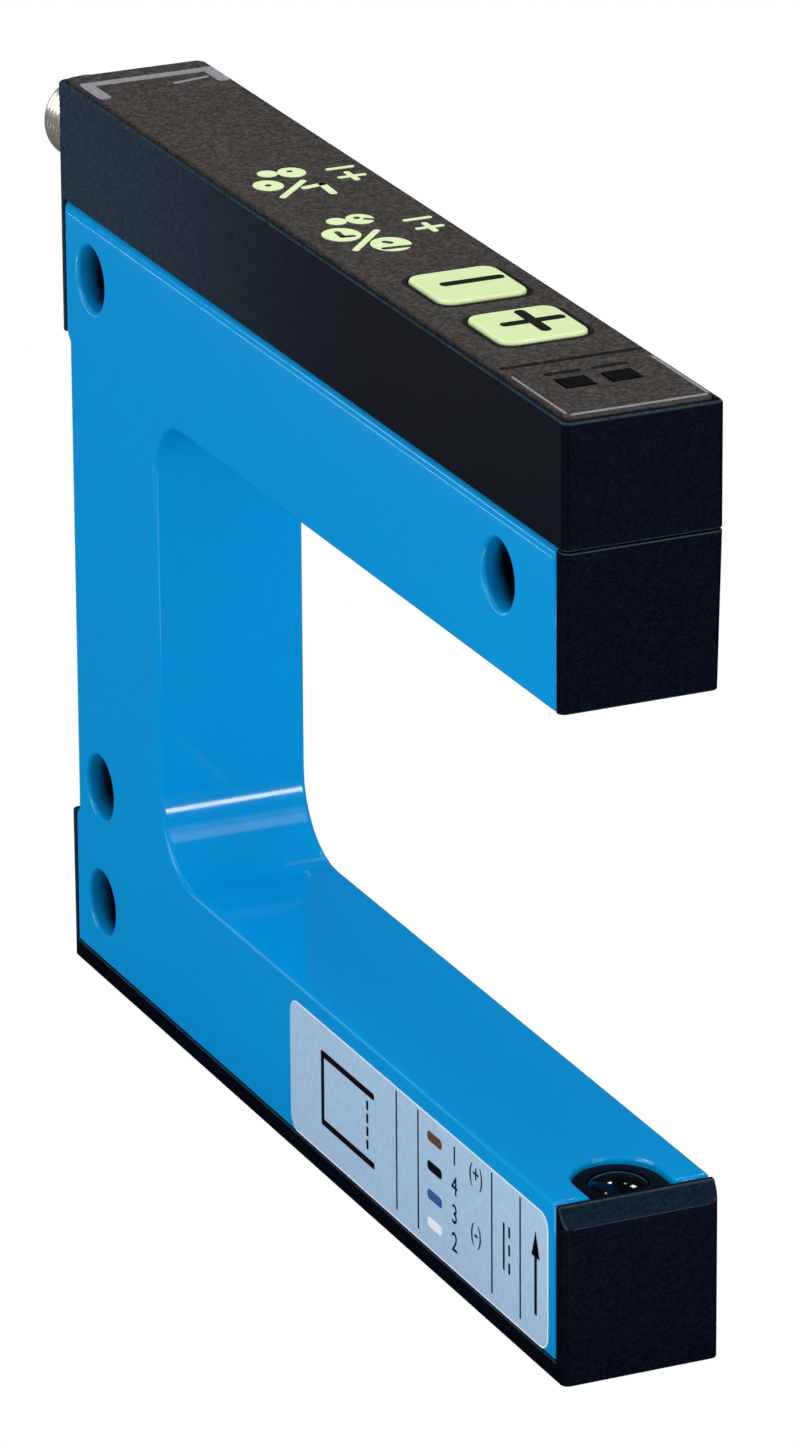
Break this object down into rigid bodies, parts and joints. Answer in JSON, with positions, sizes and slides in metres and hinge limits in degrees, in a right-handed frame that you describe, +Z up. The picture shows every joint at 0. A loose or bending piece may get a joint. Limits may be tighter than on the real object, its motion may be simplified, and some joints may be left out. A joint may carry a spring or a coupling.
{
  "type": "fork sensor",
  "caption": "C-shaped through-beam fork sensor: blue die-cast body, black covers, round lenses at the arm tips, push keys on top and a threaded round plug at the rear.",
  "frame": {"origin": "middle of the flat bottom face, on the ground plane", "axes": "+X from the spine toward the open end of the fork, Y across the thickness, +Z up from the lower arm to the keys"},
  "size_m": [0.0818, 0.01, 0.0592],
  "materials": {
    "blue_housing": "glossy blue paint on a die-cast body",
    "black_cover": "fine-grained blue-black moulding",
    "keypad_plate": "dark brown-grey plate with a fine speckle",
    "green_key": "pale green key cap",
    "dark_window": "dark, smooth window",
    "switch_body": "off-white moulding",
    "lamp_resin": "clear resin",
    "green_board": "green solder mask",
    "chip_package": "dark moulding",
    "nickel_shell": "nickel plate",
    "gilded_pin": "thin gilding",
    "seal_rubber": "soft black rubber",
    "lens_glass": "polished",
    "flex_film": "amber film"
  },
  "bodies": {
    "sensor_body": {"housing": "blue_housing", "top_cover": "black_cover", "upper_end_cap": "black_cover", "bottom_cover": "black_cover", "keypad_overlay": "keypad_plate", "minus_switch": "switch_body", "plus_switch": "switch_body", "status_window_1": "dark_window", "status_window_2": "dark_window", "status_led_1": "lamp_resin", "status_led_2": "lamp_resin", "connector_shell": "nickel_shell", "connector_insert": "black_cover", "contact_pin_1": "gilded_pin", "contact_pin_2": "gilded_pin", "contact_pin_3": "gilded_pin", "contact_pin_4": "gilded_pin", "connector_seal": "seal_rubber", "main_board": "green_board", "controller_chip": "chip_package", "regulator_chip": "chip_package", "amplifier_chip": "chip_package", "output_driver": "chip_package", "emitter_holder": "black_cover", "emitter_lens": "lens_glass", "emitter_led": "lamp_resin", "emitter_board": "green_board", "receiver_holder": "black_cover", "receiver_lens": "lens_glass", "receiver_diode": "lamp_resin", "receiver_board": "green_board", "main_flex": "flex_film", "receiver_flex": "flex_film"},
    "minus_key_body": {"minus_key": "green_key", "minus_plunger": "chip_package"},
    "plus_key_body": {"plus_key": "green_key", "plus_plunger": "chip_package"}
  },
  "joints": [
    {"name": "minus_key_press", "type": "slide", "parent": "sensor_body", "child": "minus_key_body", "axis": [0, 0, -1], "range_m": [0, 0.00025], "stiffness_N_per_m": 400},
    {"name": "plus_key_press", "type": "slide", "parent": "sensor_body", "child": "plus_key_body", "axis": [0, 0, -1], "range_m": [0, 0.00025], "stiffness_N_per_m": 400}
  ]
}
